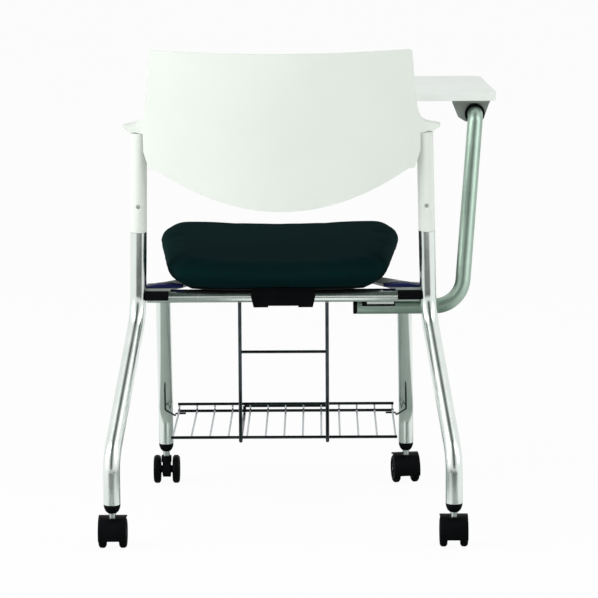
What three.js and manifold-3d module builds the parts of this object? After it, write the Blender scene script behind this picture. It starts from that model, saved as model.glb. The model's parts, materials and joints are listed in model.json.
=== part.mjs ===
// Nesting chair: a padded seat that flips up about a cross tube, a moulded back shell, a writing tablet
// on a side arm, a wire book basket and four twin-wheel casters.
// Lengths are in millimetres. +Z is up, the sitter faces -Y and +X is the sitter's left.
// The pieces are placed with Y = 0 at the rear caster stems and Z = 0 at the floor. The last lines move
// the whole chair so that its origin is on the floor, under the middle of its bounding box.
import * as THREE from "three";
import { mergeVertices } from "three/addons/utils/BufferGeometryUtils.js";
import Module from "manifold-3d";

// Driving sizes: tubes and fits
const rearTubeRadius = 13.6;
const frontTubeRadius = 12.7;
const crossTubeRadius = 11;
const armTubeRadius = 12.7;
const tubeWall = 1.6;
const seatedGap = 0.3;
const runningClearance = 0.1;

// Driving sizes: frame
const rearStemSpacing = 550;
const frontStemSpacing = 422;
const wheelbase = 432;
const rearTubeEndHeight = 74.5;
const rearStubTopHeight = 150;
const kneeSpacing = 482;
const kneeForward = 200;
const kneeHeight = 350;
const kneeBendRadius = 70;
const stubBendRadius = 60;
const sleeveFootHeight = 490;
const shoulderSpacing = 466;
const shoulderForward = 162;
const frontTubeEndHeight = 74;
const frontStubTopHeight = 130;
const frontTopSpacing = 402.6;
const frontTopForward = 230.3;
const frontTopHeight = 395;
const frontBendRadius = 60;
const crossTubeForward = 200;
const crossTubeHeight = 378;
const crossTubeEndSpacing = 452;
const bracketPlateRise = 10.5;
const bracketPlateThickness = 4;

// Driving sizes: casters
const wheelRadius = 25;
const wheelThickness = 12;
const wheelInnerFace = 10.6;
const casterTrail = 8;
const axleRadius = 3;
const stemRadius = 5.5;
const plugFootHeight = 60;
const frontRightCasterTurn = 8;

// Driving sizes: seat
const seatHalfWidth = 219;
const seatHalfLength = 200;
const seatRearForward = 147;
const seatRearWidthShare = 0.825;
const seatOffset = 9;
const cushionThickness = 63;
const panThickness = 4;
const panRise = 13.3;
const hingeHalfWidth = 53;
const hingeCapDrop = 17;

// Driving sizes: back shell
const shellTopHeight = 793;
const shellTopDip = 4;
const shellAboveShoulder = 138;
const shellBelowShoulder = 125;
const shellLowerRise = 82;
const shellLowerRiseWidth = 228;
const flareHalfWidth = 258;
const shellThickness = 5;
const shellBulge = 42;
const shellBulgeHalfWidth = 222;
const shellBehindUprights = 16.2;

// Driving sizes: tablet and its arm
const armForward = 221;
const armDrop = 22.5;
const armInnerEnd = 123;
const armOuterLow = 296;
const armOuterHigh = 323;
const armBendRadius = 48;
const elbowBendRadius = 16;
const pivotForward = 298;
const pivotHeight = 666;
const armTipForward = 318;
const bushThickness = 6;
const tabletTopHeight = 702.5;
const tabletThickness = 13.5;
const tabletRearForward = 306;
const tabletFrontForward = 598;
const tabletOuterRear = 359;
const tabletOuterFront = 348;
const tabletElbowInner = 215;
const tabletElbowForward = 402;
const tabletInner = 45;

// Driving sizes: book basket
const basketHalfWidth = 189;
const basketWires = 13;
const basketRearForward = 192;
const basketFrontForward = 424;
const basketFloorHeight = 139;
const basketFrontHeight = 134.5;
const basketLipHeight = 145.5;
const basketWireRadius = 1.6;
const basketRailRadius = 2.5;
const basketRodRadius = 3;
const basketRodSpacing = 145;
const basketCrossWireHeight = 284;
const basketHookHoleHeight = 200;

// Facets
const tubeSides = 16;
const wireSides = 6;
const roundSides = 24;
const bendSteps = 5;
const wireBendSteps = 3;
const weldDistance = 0.001;
const overrun = 60;

const wasm = await Module();
wasm.setup();

const finishes = {
  silverTube: new THREE.MeshStandardMaterial({ color: 0xb9c0c0, roughness: 0.3, metalness: 0.9 }),
  chromeWire: new THREE.MeshStandardMaterial({ color: 0xd2d4d6, roughness: 0.12, metalness: 1 }),
  castGrey: new THREE.MeshStandardMaterial({ color: 0x8d948f, roughness: 0.45, metalness: 0.7 }),
  whitePlastic: new THREE.MeshStandardMaterial({ color: 0xf1f4f0, roughness: 0.45, metalness: 0 }),
  blackPlastic: new THREE.MeshStandardMaterial({ color: 0x101214, roughness: 0.5, metalness: 0 }),
  rubber: new THREE.MeshStandardMaterial({ color: 0x18191a, roughness: 0.85, metalness: 0 }),
  seatFabric: new THREE.MeshStandardMaterial({ color: 0x112121, roughness: 0.95, metalness: 0 }),
  tabletBoard: new THREE.MeshStandardMaterial({ color: 0xeef1ec, roughness: 0.4, metalness: 0 }),
  steelPin: new THREE.MeshStandardMaterial({ color: 0x9a9ea2, roughness: 0.35, metalness: 0.9 }),
};

const chair = new THREE.Group();

// Small geometry tools

function vec(x, y, z) {
  return new THREE.Vector3(x, y, z);
}

function welded(geometry) {
  const bare = geometry.index ? geometry.toNonIndexed() : geometry.clone();
  bare.deleteAttribute("normal");
  bare.deleteAttribute("uv");
  return mergeVertices(bare, weldDistance);
}

// A closed geometry with its faces pointing out, whichever way round it was drawn.
function facingOut(geometry) {
  const closed = welded(geometry);
  const corner = closed.getAttribute("position");
  const order = closed.index.array;
  const a = new THREE.Vector3();
  const b = new THREE.Vector3();
  const c = new THREE.Vector3();
  let sixVolumes = 0;
  for (let i = 0; i < order.length; i += 3) {
    a.fromBufferAttribute(corner, order[i]);
    b.fromBufferAttribute(corner, order[i + 1]);
    c.fromBufferAttribute(corner, order[i + 2]);
    sixVolumes += a.dot(b.cross(c));
  }
  if (sixVolumes < 0) {
    for (let i = 0; i < order.length; i += 3) {
      [order[i + 1], order[i + 2]] = [order[i + 2], order[i + 1]];
    }
  }
  return closed;
}

function solid(geometry) {
  const closed = facingOut(geometry);
  const vertProperties = new Float32Array(closed.getAttribute("position").array);
  const triVerts = new Uint32Array(closed.index.array);
  return new wasm.Manifold(new wasm.Mesh({ numProp: 3, vertProperties, triVerts }));
}

function joined(...geometries) {
  return geometries.map(solid).reduce((whole, piece) => whole.add(piece));
}

function cut(base, ...tools) {
  return tools.reduce((rest, tool) => rest.subtract(solid(tool)), base);
}

function shaped(body) {
  const mesh = body.getMesh();
  const geometry = new THREE.BufferGeometry();
  geometry.setAttribute("position", new THREE.BufferAttribute(new Float32Array(mesh.vertProperties), 3));
  geometry.setIndex(Array.from(mesh.triVerts));
  return geometry;
}

function addPiece(name, geometry, material, parent = chair) {
  const drawn = geometry.index ? geometry.toNonIndexed() : geometry;
  drawn.computeVertexNormals();
  const mesh = new THREE.Mesh(drawn, material.clone());
  mesh.name = name;
  parent.add(mesh);
  return mesh;
}

// The same piece on both sides: the right one is the left one mirrored in X.
function addPair(name, geometry, material) {
  addPiece(`${name}_left`, geometry, material);
  addPiece(`${name}_right`, geometry, material).scale.x = -1;
}

function polygon(radius, sides) {
  const points = [];
  for (let i = 0; i < sides; i++) {
    const angle = ((i + 0.5) / sides) * 2 * Math.PI;
    points.push(new THREE.Vector2(radius * Math.cos(angle), radius * Math.sin(angle)));
  }
  return points;
}

// The corner radius of a faceted hole whose flats stay clear of a round pin.
function holeRadius(pinRadius, clearance, sides) {
  return (pinRadius + clearance) / Math.cos(Math.PI / sides);
}

// A path of straight runs joined by round bends, with a station at each end of a run and along each bend.
class BentPath extends THREE.Curve {
  constructor(corners, bendRadii, steps) {
    super();
    this.steps = steps;
    this.stations = [];
    let heading = corners[1].clone().sub(corners[0]).normalize();
    this.stations.push({ point: corners[0], heading });
    for (let i = 1; i < corners.length - 1; i++) {
      const next = corners[i + 1].clone().sub(corners[i]).normalize();
      this.addBend(corners[i], heading, next, bendRadii[i - 1]);
      heading = next;
    }
    this.stations.push({ point: corners[corners.length - 1], heading });
  }

  addBend(corner, heading, next, radius) {
    const turn = heading.angleTo(next);
    const start = corner.clone().addScaledVector(heading, -radius * Math.tan(turn / 2));
    const axis = heading.clone().cross(next).normalize();
    const inward = axis.clone().cross(heading);
    const centre = start.clone().addScaledVector(inward, radius);
    for (let k = 0; k <= this.steps; k++) {
      const angle = (turn * k) / this.steps;
      const spoke = inward.clone().negate().applyAxisAngle(axis, angle);
      const point = centre.clone().addScaledVector(spoke, radius);
      this.stations.push({ point, heading: heading.clone().applyAxisAngle(axis, angle) });
    }
  }

  station(share) {
    return this.stations[Math.round(share * (this.stations.length - 1))];
  }

  getPointAt(share, target = new THREE.Vector3()) {
    return target.copy(this.station(share).point);
  }

  getTangentAt(share, target = new THREE.Vector3()) {
    return target.copy(this.station(share).heading);
  }
}

function sweep(shape, path) {
  return new THREE.ExtrudeGeometry(shape, {
    steps: path.stations.length - 1,
    bevelEnabled: false,
    extrudePath: path,
  });
}

function rod(corners, bendRadii, radius) {
  return sweep(new THREE.Shape(polygon(radius, tubeSides)), new BentPath(corners, bendRadii, bendSteps));
}

function wire(corners, bendRadii, radius) {
  const round = new THREE.Shape(polygon(radius, wireSides));
  return sweep(round, new BentPath(corners, bendRadii, wireBendSteps));
}

function pipe(corners, bendRadii, radius, wall = tubeWall) {
  const ring = new THREE.Shape(polygon(radius, tubeSides));
  ring.holes.push(new THREE.Path(polygon(radius - wall, tubeSides).reverse()));
  return sweep(ring, new BentPath(corners, bendRadii, bendSteps));
}

function box(low, high) {
  const size = high.clone().sub(low);
  const block = new THREE.BoxGeometry(size.x, size.y, size.z);
  return block.translate((low.x + high.x) / 2, (low.y + high.y) / 2, (low.z + high.z) / 2);
}

// A turned piece: the profile gives radius and height, and the axis runs from foot towards head.
function turned(profile, foot, head, sides = roundSides) {
  const lathe = new THREE.LatheGeometry(profile.map(([r, h]) => new THREE.Vector2(r, h)), sides);
  lathe.rotateY(Math.PI / sides);
  const axis = head.clone().sub(foot).normalize();
  lathe.applyQuaternion(new THREE.Quaternion().setFromUnitVectors(vec(0, 1, 0), axis));
  return lathe.translate(foot.x, foot.y, foot.z);
}

function pin(radius, foot, head, sides = roundSides) {
  const length = foot.distanceTo(head);
  return turned([[0, 0], [radius, 0], [radius, length], [0, length]], foot, head, sides);
}

// A flat outline in X and Z, given as points, made solid from rearY forward to frontY.
function slab(outline, rearY, frontY) {
  const shape = new THREE.Shape(outline.map(([x, z]) => new THREE.Vector2(x, z)));
  const block = new THREE.ExtrudeGeometry(shape, { depth: rearY - frontY, bevelEnabled: false });
  return block.rotateX(Math.PI / 2).translate(0, rearY, 0);
}

// A flat outline in Y and Z, given as points, made solid from lowX to highX.
function sideSlab(outline, lowX, highX) {
  const shape = new THREE.Shape(outline.map(([y, z]) => new THREE.Vector2(y, z)));
  const block = new THREE.ExtrudeGeometry(shape, { depth: highX - lowX, bevelEnabled: false });
  const turn = new THREE.Matrix4().makeBasis(vec(0, 1, 0), vec(0, 0, 1), vec(1, 0, 0));
  return block.applyMatrix4(turn).translate(lowX, 0, 0);
}

// A closed skin through loops of equal count, stacked from top to bottom, with a point at each end.
function stackedLoops(top, loops, bottom) {
  const count = loops[0].length;
  const positions = [top, ...loops.flat(), bottom].flatMap((p) => [p.x, p.y, p.z]);
  const order = [];
  const last = loops.length * count + 1;
  const at = (loop, i) => 1 + loop * count + (i % count);
  for (let i = 0; i < count; i++) {
    order.push(0, at(0, i), at(0, i + 1));
    for (let loop = 0; loop + 1 < loops.length; loop++) {
      order.push(at(loop, i), at(loop + 1, i), at(loop + 1, i + 1));
      order.push(at(loop, i), at(loop + 1, i + 1), at(loop, i + 1));
    }
    order.push(last, at(loops.length - 1, i + 1), at(loops.length - 1, i));
  }
  const geometry = new THREE.BufferGeometry();
  geometry.setAttribute("position", new THREE.BufferAttribute(new Float32Array(positions), 3));
  geometry.setIndex(order);
  return geometry;
}

// Heights that follow from the driving sizes

const shoulderHeight = shellTopHeight - shellAboveShoulder;
const shellLowestHeight = shoulderHeight - shellBelowShoulder;
const bracketPlateTop = crossTubeHeight + bracketPlateRise;
const panBottomHeight = crossTubeHeight + panRise;
const cushionBottomHeight = panBottomHeight + panThickness + seatedGap;
const hingeCapBottomHeight = crossTubeHeight - hingeCapDrop;
const armHeight = crossTubeHeight - armDrop;

// Frame points of the left side

const rearFoot = vec(rearStemSpacing / 2, 0, rearTubeEndHeight);
const rearStubTop = vec(rearStemSpacing / 2, 0, rearStubTopHeight);
const knee = vec(kneeSpacing / 2, -kneeForward, kneeHeight);
const shoulder = vec(shoulderSpacing / 2, -shoulderForward, shoulderHeight);
const uprightDirection = shoulder.clone().sub(knee).normalize();
const frontFoot = vec(frontStemSpacing / 2, -wheelbase, frontTubeEndHeight);
const frontStubTop = vec(frontStemSpacing / 2, -wheelbase, frontStubTopHeight);
const frontTop = vec(frontTopSpacing / 2, -frontTopForward, frontTopHeight);
const crossAxisY = -crossTubeForward;

// A point of the upright's axis at a height, also past its two ends.
function uprightAt(height) {
  const share = (height - kneeHeight) / (shoulderHeight - kneeHeight);
  return knee.clone().lerp(shoulder, share);
}

function uprightY(height) {
  return uprightAt(height).y;
}

function mirrored(point) {
  return vec(-point.x, point.y, point.z);
}

const crossAxis = vec(0, crossAxisY, crossTubeHeight);
const frontDirection = frontTop.clone().sub(frontStubTop).normalize();
const bracketPlateBottom = bracketPlateTop - bracketPlateThickness;

// A point of the sloping front leg's axis at a height.
function frontLegAt(height) {
  const share = (height - frontStubTopHeight) / (frontTopHeight - frontStubTopHeight);
  return frontStubTop.clone().lerp(frontTop, share);
}

// A screw whose head rests at the floor of a pocket and points outward, and the cutter for its pocket.
const screwHeadHeight = 2;
const screwShankRadius = 2;

function screw(floor, outward, headRadius, shankLength) {
  const foot = floor.clone().addScaledVector(outward, -shankLength);
  const neck = shankLength + seatedGap;
  const profile = [
    [0, 0],
    [screwShankRadius, 0],
    [screwShankRadius, neck],
    [headRadius, neck],
    [headRadius, neck + screwHeadHeight],
    [0, neck + screwHeadHeight],
  ];
  return turned(profile, foot, floor, tubeSides);
}

function screwPocket(floor, outward, headRadius, shankLength) {
  const foot = floor.clone().addScaledVector(outward, -shankLength - seatedGap);
  const top = shankLength + seatedGap;
  const profile = [
    [0, 0],
    [holeRadius(screwShankRadius, seatedGap, tubeSides), 0],
    [holeRadius(screwShankRadius, seatedGap, tubeSides), top],
    [headRadius + seatedGap * 2, top],
    [headRadius + seatedGap * 2, top + overrun],
    [0, top + overrun],
  ];
  return turned(profile, foot, floor, tubeSides);
}

// Frame: rear legs, upright sleeves and their screws

function buildRearLegs() {
  const spigotLength = 26;
  const spigotRadius = rearTubeRadius - tubeWall - seatedGap * 2;
  const sleeveScrewShare = 0.27;
  const sleeveScrewHeadRadius = 3;
  const sleeveScrewShank = 7;
  const sleevePocketDepth = 3;

  const tubeTop = uprightAt(sleeveFootHeight);
  const tube = pipe([rearFoot, rearStubTop, knee, tubeTop], [stubBendRadius, kneeBendRadius], rearTubeRadius);
  addPair("rear_leg", tube, finishes.silverTube);

  const sleeveFoot = tubeTop.clone().addScaledVector(uprightDirection, seatedGap);
  const sleeveTop = shoulder.clone().addScaledVector(uprightDirection, rearTubeRadius);
  const sleeveLength = sleeveFoot.distanceTo(sleeveTop);
  const spigotFoot = sleeveFoot.clone().addScaledVector(uprightDirection, -spigotLength);
  const profile = [
    [0, 0],
    [spigotRadius, 0],
    [spigotRadius, spigotLength],
    [rearTubeRadius, spigotLength],
    [rearTubeRadius, spigotLength + sleeveLength],
    [0, spigotLength + sleeveLength],
  ];
  const rearward = vec(0, 1, 0).addScaledVector(uprightDirection, -uprightDirection.y).normalize();
  const screwFloor = uprightAt(sleeveFootHeight + (shoulderHeight - sleeveFootHeight) * sleeveScrewShare);
  screwFloor.addScaledVector(rearward, rearTubeRadius - sleevePocketDepth);
  const above = box(
    vec(0, -overrun * 10, shoulderHeight),
    vec(overrun * 10, overrun * 10, shoulderHeight + overrun * 10)
  );
  const sleeve = cut(
    solid(turned(profile, spigotFoot, sleeveTop)),
    above,
    screwPocket(screwFloor, rearward, sleeveScrewHeadRadius, sleeveScrewShank)
  );
  addPair("upright_sleeve", shaped(sleeve), finishes.whitePlastic);
  addPair("sleeve_screw", screw(screwFloor, rearward, sleeveScrewHeadRadius, sleeveScrewShank), finishes.steelPin);
}

// Frame: front legs, with a drilled hole for the basket's hook

const hookDirection = vec(0, frontDirection.z, -frontDirection.y).normalize();
const hookHoleAxis = frontLegAt(basketHookHoleHeight);

function buildFrontLegs() {
  const hookHoleRadius = 2.6;
  const tube = pipe([frontFoot, frontStubTop, frontTop], [frontBendRadius], frontTubeRadius);
  const above = box(
    vec(0, -overrun * 10, bracketPlateBottom - seatedGap),
    vec(overrun * 10, 0, bracketPlateBottom + overrun * 10)
  );
  const holeEnd = hookHoleAxis.clone().addScaledVector(hookDirection, frontTubeRadius * 2);
  const hookHole = pin(hookHoleRadius, hookHoleAxis, holeEnd, tubeSides);
  addPair("front_leg", shaped(cut(solid(tube), above, hookHole)), finishes.silverTube);
}

// Frame: cross tube between the rear legs

function buildCrossTube() {
  const halfLength = crossTubeEndSpacing / 2;
  const ends = [vec(-halfLength, crossAxisY, crossTubeHeight), vec(halfLength, crossAxisY, crossTubeHeight)];
  addPiece("cross_tube", pipe(ends, [], crossTubeRadius), finishes.silverTube);
}

// Frame: seat brackets, their rear caps, dark covers and rubber buffers

function buildSeatBrackets() {
  const bracketInnerX = 186.5;
  const bracketOuterX = 229;
  const capInnerX = 190;
  const strapThickness = 3.2;
  const bracketFrontReach = 66;
  const bracketFrontNose = 72;
  const bracketLowHeight = armHeight + armTubeRadius + seatedGap * 4;
  const capLowHeight = crossTubeHeight - 5;
  const capDepth = 4.2;
  const capCorner = 2;
  const plateInnerX = 128;
  const plateFrontForward = 330;
  const plateFrontWidth = 24;
  const plateRearWidth = 28;
  const coverInnerX = 166;
  const coverPeakX = 206;
  const coverRearReach = 8;
  const coverRise = 6;
  const bufferRadius = 9;
  const bufferX = 140;
  const bufferForward = 318;

  const boreRadius = holeRadius(crossTubeRadius, seatedGap, roundSides);
  const strapTop = crossTubeHeight + boreRadius + strapThickness;
  const capTop = crossTubeHeight + crossTubeRadius - seatedGap * 3;
  const strapBottom = capTop + seatedGap;
  const frontEdge = -crossTubeForward - crossTubeRadius - seatedGap * 9;
  const rearEdge = crossAxisY + crossTubeRadius;
  const plateLow = bracketPlateBottom - seatedGap;
  const bore = pin(boreRadius, vec(0, crossAxisY, crossTubeHeight), vec(overrun * 5, crossAxisY, crossTubeHeight));
  const legPath = [rearFoot, rearStubTop, knee, uprightAt(sleeveFootHeight)];
  const legRelief = rod(legPath, [stubBendRadius, kneeBendRadius], holeRadius(rearTubeRadius, seatedGap, tubeSides));
  const frontPath = [frontFoot, frontStubTop, frontTop.clone().addScaledVector(frontDirection, overrun)];
  const frontRelief = rod(frontPath, [frontBendRadius], holeRadius(frontTubeRadius, seatedGap, tubeSides));
  const underPlate = box(vec(0, -overrun * 10, 0), vec(overrun * 5, 0, plateLow));

  const bodyOutline = [
    [rearEdge, strapBottom],
    [rearEdge, strapTop],
    [frontEdge, strapTop],
    [frontEdge, bracketPlateTop],
    [crossAxisY - bracketFrontReach, bracketPlateTop],
    [crossAxisY - bracketFrontReach, plateLow],
    [crossAxisY - bracketFrontNose, bracketLowHeight],
    [crossAxisY - crossTubeRadius, bracketLowHeight],
    [crossAxisY, crossTubeHeight],
    [crossAxisY, strapBottom],
  ];
  const legHole = shaped(solid(frontRelief).intersect(solid(underPlate)));
  const plate = new THREE.Shape([
    new THREE.Vector2(bracketInnerX + plateRearWidth, frontEdge),
    new THREE.Vector2(bracketInnerX, frontEdge),
    new THREE.Vector2(plateInnerX, -plateFrontForward + plateFrontWidth),
    new THREE.Vector2(plateInnerX, -plateFrontForward),
    new THREE.Vector2(plateInnerX + plateFrontWidth, -plateFrontForward),
    new THREE.Vector2(bracketInnerX + plateRearWidth, crossAxisY - bracketFrontReach),
  ]);
  const plateSolid = new THREE.ExtrudeGeometry(plate, { depth: bracketPlateThickness, bevelEnabled: false });
  plateSolid.translate(0, 0, bracketPlateBottom);
  const casting = cut(joined(sideSlab(bodyOutline, bracketInnerX, bracketOuterX), plateSolid), bore, legRelief, legHole);
  addPair("seat_bracket", shaped(casting), finishes.castGrey);

  const capOutline = [
    [rearEdge + capDepth, capLowHeight],
    [rearEdge + capDepth, capTop - capCorner],
    [rearEdge + capDepth - capCorner, capTop],
    [crossAxisY + crossTubeRadius / 2, capTop],
    [crossAxisY + crossTubeRadius / 2, crossTubeHeight],
    [crossAxisY + crossTubeRadius / 2, capLowHeight],
  ];
  const cap = cut(solid(sideSlab(capOutline, capInnerX, bracketOuterX)), bore, legRelief);
  addPair("bracket_cap", shaped(cap), finishes.blackPlastic);

  const coverLow = strapTop + seatedGap;
  const coverOutline = [
    [coverInnerX, coverLow],
    [bracketOuterX, coverLow],
    [bracketOuterX, coverLow + coverRise / 3],
    [coverPeakX, coverLow + coverRise],
    [coverPeakX - coverRise * 3, coverLow + coverRise],
    [coverInnerX, coverLow + coverRise / 2],
  ];
  const cover = cut(solid(slab(coverOutline, crossAxisY + coverRearReach, frontEdge)), legRelief);
  addPair("bracket_cover", shaped(cover), finishes.blackPlastic);

  const bufferFoot = vec(bufferX, -bufferForward, bracketPlateTop);
  const bufferTop = vec(bufferX, -bufferForward, panBottomHeight - seatedGap);
  addPair("seat_buffer", pin(bufferRadius, bufferFoot, bufferTop, tubeSides), finishes.rubber);
}

// Back shell: a curved sheet cut to its outline, with a deep shoulder over each upright

function buildBackShell() {
  const arcSteps = 22;
  const edgeSteps = 9;
  const shoulderDepthBehind = 14.4;
  const shoulderDepthInFront = 21;
  const sideShares = [
    [0.798, 1],
    [0.812, 0.996],
    [0.819, 0.984],
    [0.826, 0.913],
    [0.837, 0.787],
    [0.853, 0.646],
    [0.866, 0.593],
    [0.884, 0.559],
    [0.915, 0.54],
    [0.957, 0.532],
    [1, 0.525],
    [0.996, 0.51],
    [0.957, 0.4885],
  ];
  const wingShares = [
    [0.874, 0.4755],
    [0.874, 0.266],
    [0.876, 0.209],
    [0.845, 0.257],
  ];
  const shoulderShares = [[0.842, 0.63]];
  const shoulderFootShares = [[0.851, 0.4885]];

  const height = shellTopHeight - shellLowestHeight;
  const place = ([xShare, zShare]) => [xShare * flareHalfWidth, shellLowestHeight + zShare * height];
  const cornerX = sideShares[0][0] * flareHalfWidth;
  const lowerCornerX = wingShares[3][0] * flareHalfWidth;

  const topEdge = [];
  const lowerEdge = [];
  for (let i = 0; i < edgeSteps; i++) {
    const x = (cornerX * i) / edgeSteps;
    topEdge.push([x, shellTopHeight - shellTopDip + shellTopDip * (x / cornerX) ** 2]);
    const lowX = (lowerCornerX * (edgeSteps - i - 0.5)) / edgeSteps;
    lowerEdge.push([lowX, shellLowestHeight + shellLowerRise * (lowX / shellLowerRiseWidth) ** 2]);
  }
  const leftHalf = [...topEdge, ...sideShares.map(place), ...wingShares.map(place), ...lowerEdge];
  const rightHalf = leftHalf.filter(([x]) => x > 0).map(([x, z]) => [-x, z]).reverse();
  const outline = slab([...leftHalf, ...rightHalf], overrun * 10, -overrun * 10);

  const frontFace = [];
  const rearFace = [];
  for (let i = 0; i <= arcSteps; i++) {
    const x = ((2 * i) / arcSteps - 1) * (flareHalfWidth + shellThickness);
    const y = shellBehindUprights + shellBulge * (1 - (x / shellBulgeHalfWidth) ** 2);
    frontFace.push(new THREE.Vector2(x, y - shellThickness / 2));
    rearFace.unshift(new THREE.Vector2(x, y + shellThickness / 2));
  }
  const tall = height + overrun;
  const sheet = new THREE.ExtrudeGeometry(new THREE.Shape([...frontFace, ...rearFace]), {
    depth: tall,
    bevelEnabled: false,
  });
  const lean = uprightDirection.y / uprightDirection.z;
  const low = shellLowestHeight - overrun / 2;
  const shear = new THREE.Matrix4().set(1, 0, 0, 0, 0, 1, lean, uprightY(low), 0, 0, 1, low, 0, 0, 0, 1);
  sheet.applyMatrix4(shear);
  const panel = solid(sheet).intersect(solid(outline));

  const shoulderOutline = [...shoulderShares, ...sideShares.slice(5), ...shoulderFootShares].map(place);
  const rearY = uprightY(shoulderHeight) + shoulderDepthBehind;
  const frontY = uprightY(shoulderHeight) - shoulderDepthInFront;
  const leftShoulder = slab(shoulderOutline, rearY, frontY);
  const rightShoulder = slab(shoulderOutline.map(([x, z]) => [-x, z]), rearY, frontY);
  const shell = panel.add(solid(leftShoulder)).add(solid(rightShoulder));
  const sleeveSpace = box(
    vec(-overrun * 10, -overrun * 10, 0),
    vec(overrun * 10, uprightY(shoulderHeight) + rearTubeRadius, shoulderHeight + seatedGap)
  );
  addPiece("back_shell", shaped(cut(shell, sleeveSpace)), finishes.whitePlastic);
}

// Seat: cushion, pan, hinge block and cap, bolts

// A rounded loop that narrows to the rear, the given share of the seat's widest outline. The height at
// each point follows from its forward place and its side place, both as shares from -1 to 1.
function seatLoop(share, height, count) {
  const squareness = 7.5;
  const centreY = -seatRearForward - seatHalfLength;
  const loop = [];
  for (let i = 0; i < count; i++) {
    const angle = (i / count) * 2 * Math.PI;
    const c = Math.cos(angle);
    const s = Math.sin(angle);
    const reach = (Math.abs(c) ** squareness + Math.abs(s) ** squareness) ** (-1 / squareness);
    const along = -share * reach * s;
    const side = share * reach * c;
    const widthShare = seatRearWidthShare + ((1 - seatRearWidthShare) * (1 + along)) / 2;
    const x = seatOffset + seatHalfWidth * widthShare * side;
    loop.push(vec(x, centreY - seatHalfLength * along, height(along, side)));
  }
  return loop;
}

function buildSeat() {
  const cushionPoints = 32;
  const panPoints = 32;
  const dishDepth = 7.5;
  const rearDrop = 18;
  const noseDrop = 1;
  const panRimHeight = 2;
  const panShare = 0.86;
  const panMiddleShare = 0.4;
  const centreY = -seatRearForward - seatHalfLength;
  // Each pair is a share of the widest outline and a share of the cushion's thickness.
  const levelShares = [
    [0.3, 1],
    [0.6, 1],
    [0.85, 1],
    [0.92, 0.98],
    [0.96, 0.9],
    [0.985, 0.78],
    [1, 0.6],
    [0.99, 0.42],
    [0.95, 0.2],
    [0.895, 0.05],
    [panShare, 0],
    [panMiddleShare, 0],
  ];
  // The top is dished between the sides, drops to the rear, and rolls over at the front nose.
  const topDrop = (along, side) => {
    const dish = dishDepth * Math.max(0, 1 - side * side * 1.6);
    return dish + (rearDrop * (1 - along)) / 2 + noseDrop * Math.max(0, along) ** 6;
  };
  const loops = levelShares.map(([outlineShare, heightShare]) => {
    const height = (along, side) => cushionBottomHeight + (cushionThickness - topDrop(along, side)) * heightShare;
    return seatLoop(outlineShare, height, cushionPoints);
  });
  const top = vec(seatOffset, centreY, cushionBottomHeight + cushionThickness - topDrop(0, 0));
  const bottom = vec(seatOffset, centreY, cushionBottomHeight);
  addPiece("seat_cushion", facingOut(stackedLoops(top, loops, bottom)), finishes.seatFabric);

  const panTop = cushionBottomHeight - seatedGap;
  const panLoops = [
    seatLoop(panMiddleShare, () => panTop, panPoints),
    seatLoop(panShare, () => panTop, panPoints),
    seatLoop(panShare, () => panBottomHeight + panRimHeight, panPoints),
    seatLoop(panShare - 0.02, () => panBottomHeight, panPoints),
    seatLoop(panMiddleShare, () => panBottomHeight, panPoints),
  ];
  const panSkin = stackedLoops(
    vec(seatOffset, centreY, panTop),
    panLoops,
    vec(seatOffset, centreY, panBottomHeight)
  );
  addPiece("seat_pan", facingOut(panSkin), finishes.blackPlastic);
}

function buildSeatHinge() {
  const hingeHalfDepth = 16;
  const flangeReach = 30;
  const flangeThickness = 7;
  const capEndInset = 4;
  const recessHalfWidth = 25;
  const recessDepth = 2.5;
  const boltX = 38;
  const boltInset = 7.5;
  const boltHeadRadius = 4;
  const boltShank = 12;

  const boreRadius = holeRadius(crossTubeRadius, seatedGap, roundSides);
  const bore = pin(boreRadius, vec(-overrun * 2, crossAxisY, crossTubeHeight), vec(overrun * 2, crossAxisY, crossTubeHeight));
  const blockTop = panBottomHeight - seatedGap;
  const parting = seatedGap / 2;
  const blockOutline = [
    [crossAxisY + hingeHalfDepth, crossTubeHeight + parting],
    [crossAxisY + hingeHalfDepth, blockTop],
    [crossAxisY - flangeReach, blockTop],
    [crossAxisY - flangeReach, crossTubeHeight + parting],
  ];
  const capOutline = [
    [-hingeHalfWidth, crossTubeHeight - parting],
    [-hingeHalfWidth + capEndInset, hingeCapBottomHeight],
    [-recessHalfWidth, hingeCapBottomHeight],
    [-recessHalfWidth, hingeCapBottomHeight + recessDepth],
    [recessHalfWidth, hingeCapBottomHeight + recessDepth],
    [recessHalfWidth, hingeCapBottomHeight],
    [hingeHalfWidth - capEndInset, hingeCapBottomHeight],
    [hingeHalfWidth, crossTubeHeight - parting],
  ];
  const flange = box(
    vec(-hingeHalfWidth + capEndInset, crossAxisY - flangeReach, crossTubeHeight - parting - flangeThickness),
    vec(hingeHalfWidth - capEndInset, crossAxisY, crossTubeHeight - parting)
  );
  const capBody = slab(capOutline, crossAxisY + hingeHalfDepth, crossAxisY - hingeHalfDepth);
  const boltY = crossAxisY - flangeReach + boltInset;
  const boltFloor = crossTubeHeight - parting - flangeThickness;
  const down = vec(0, 0, -1);
  const boltPlaces = [vec(boltX, boltY, boltFloor), vec(-boltX, boltY, boltFloor)];
  const pockets = boltPlaces.map((place) => screwPocket(place, down, boltHeadRadius, boltShank));
  const block = cut(solid(sideSlab(blockOutline, -hingeHalfWidth, hingeHalfWidth)), bore, ...pockets);
  const cap = cut(joined(capBody, flange), bore, ...pockets);
  addPiece("hinge_block", shaped(block), finishes.blackPlastic);
  addPiece("hinge_cap", shaped(cap), finishes.blackPlastic);
  addPiece("hinge_bolt_left", screw(boltPlaces[0], down, boltHeadRadius, boltShank), finishes.steelPin);
  addPiece("hinge_bolt_right", screw(boltPlaces[1], down, boltHeadRadius, boltShank), finishes.steelPin);
}

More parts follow.
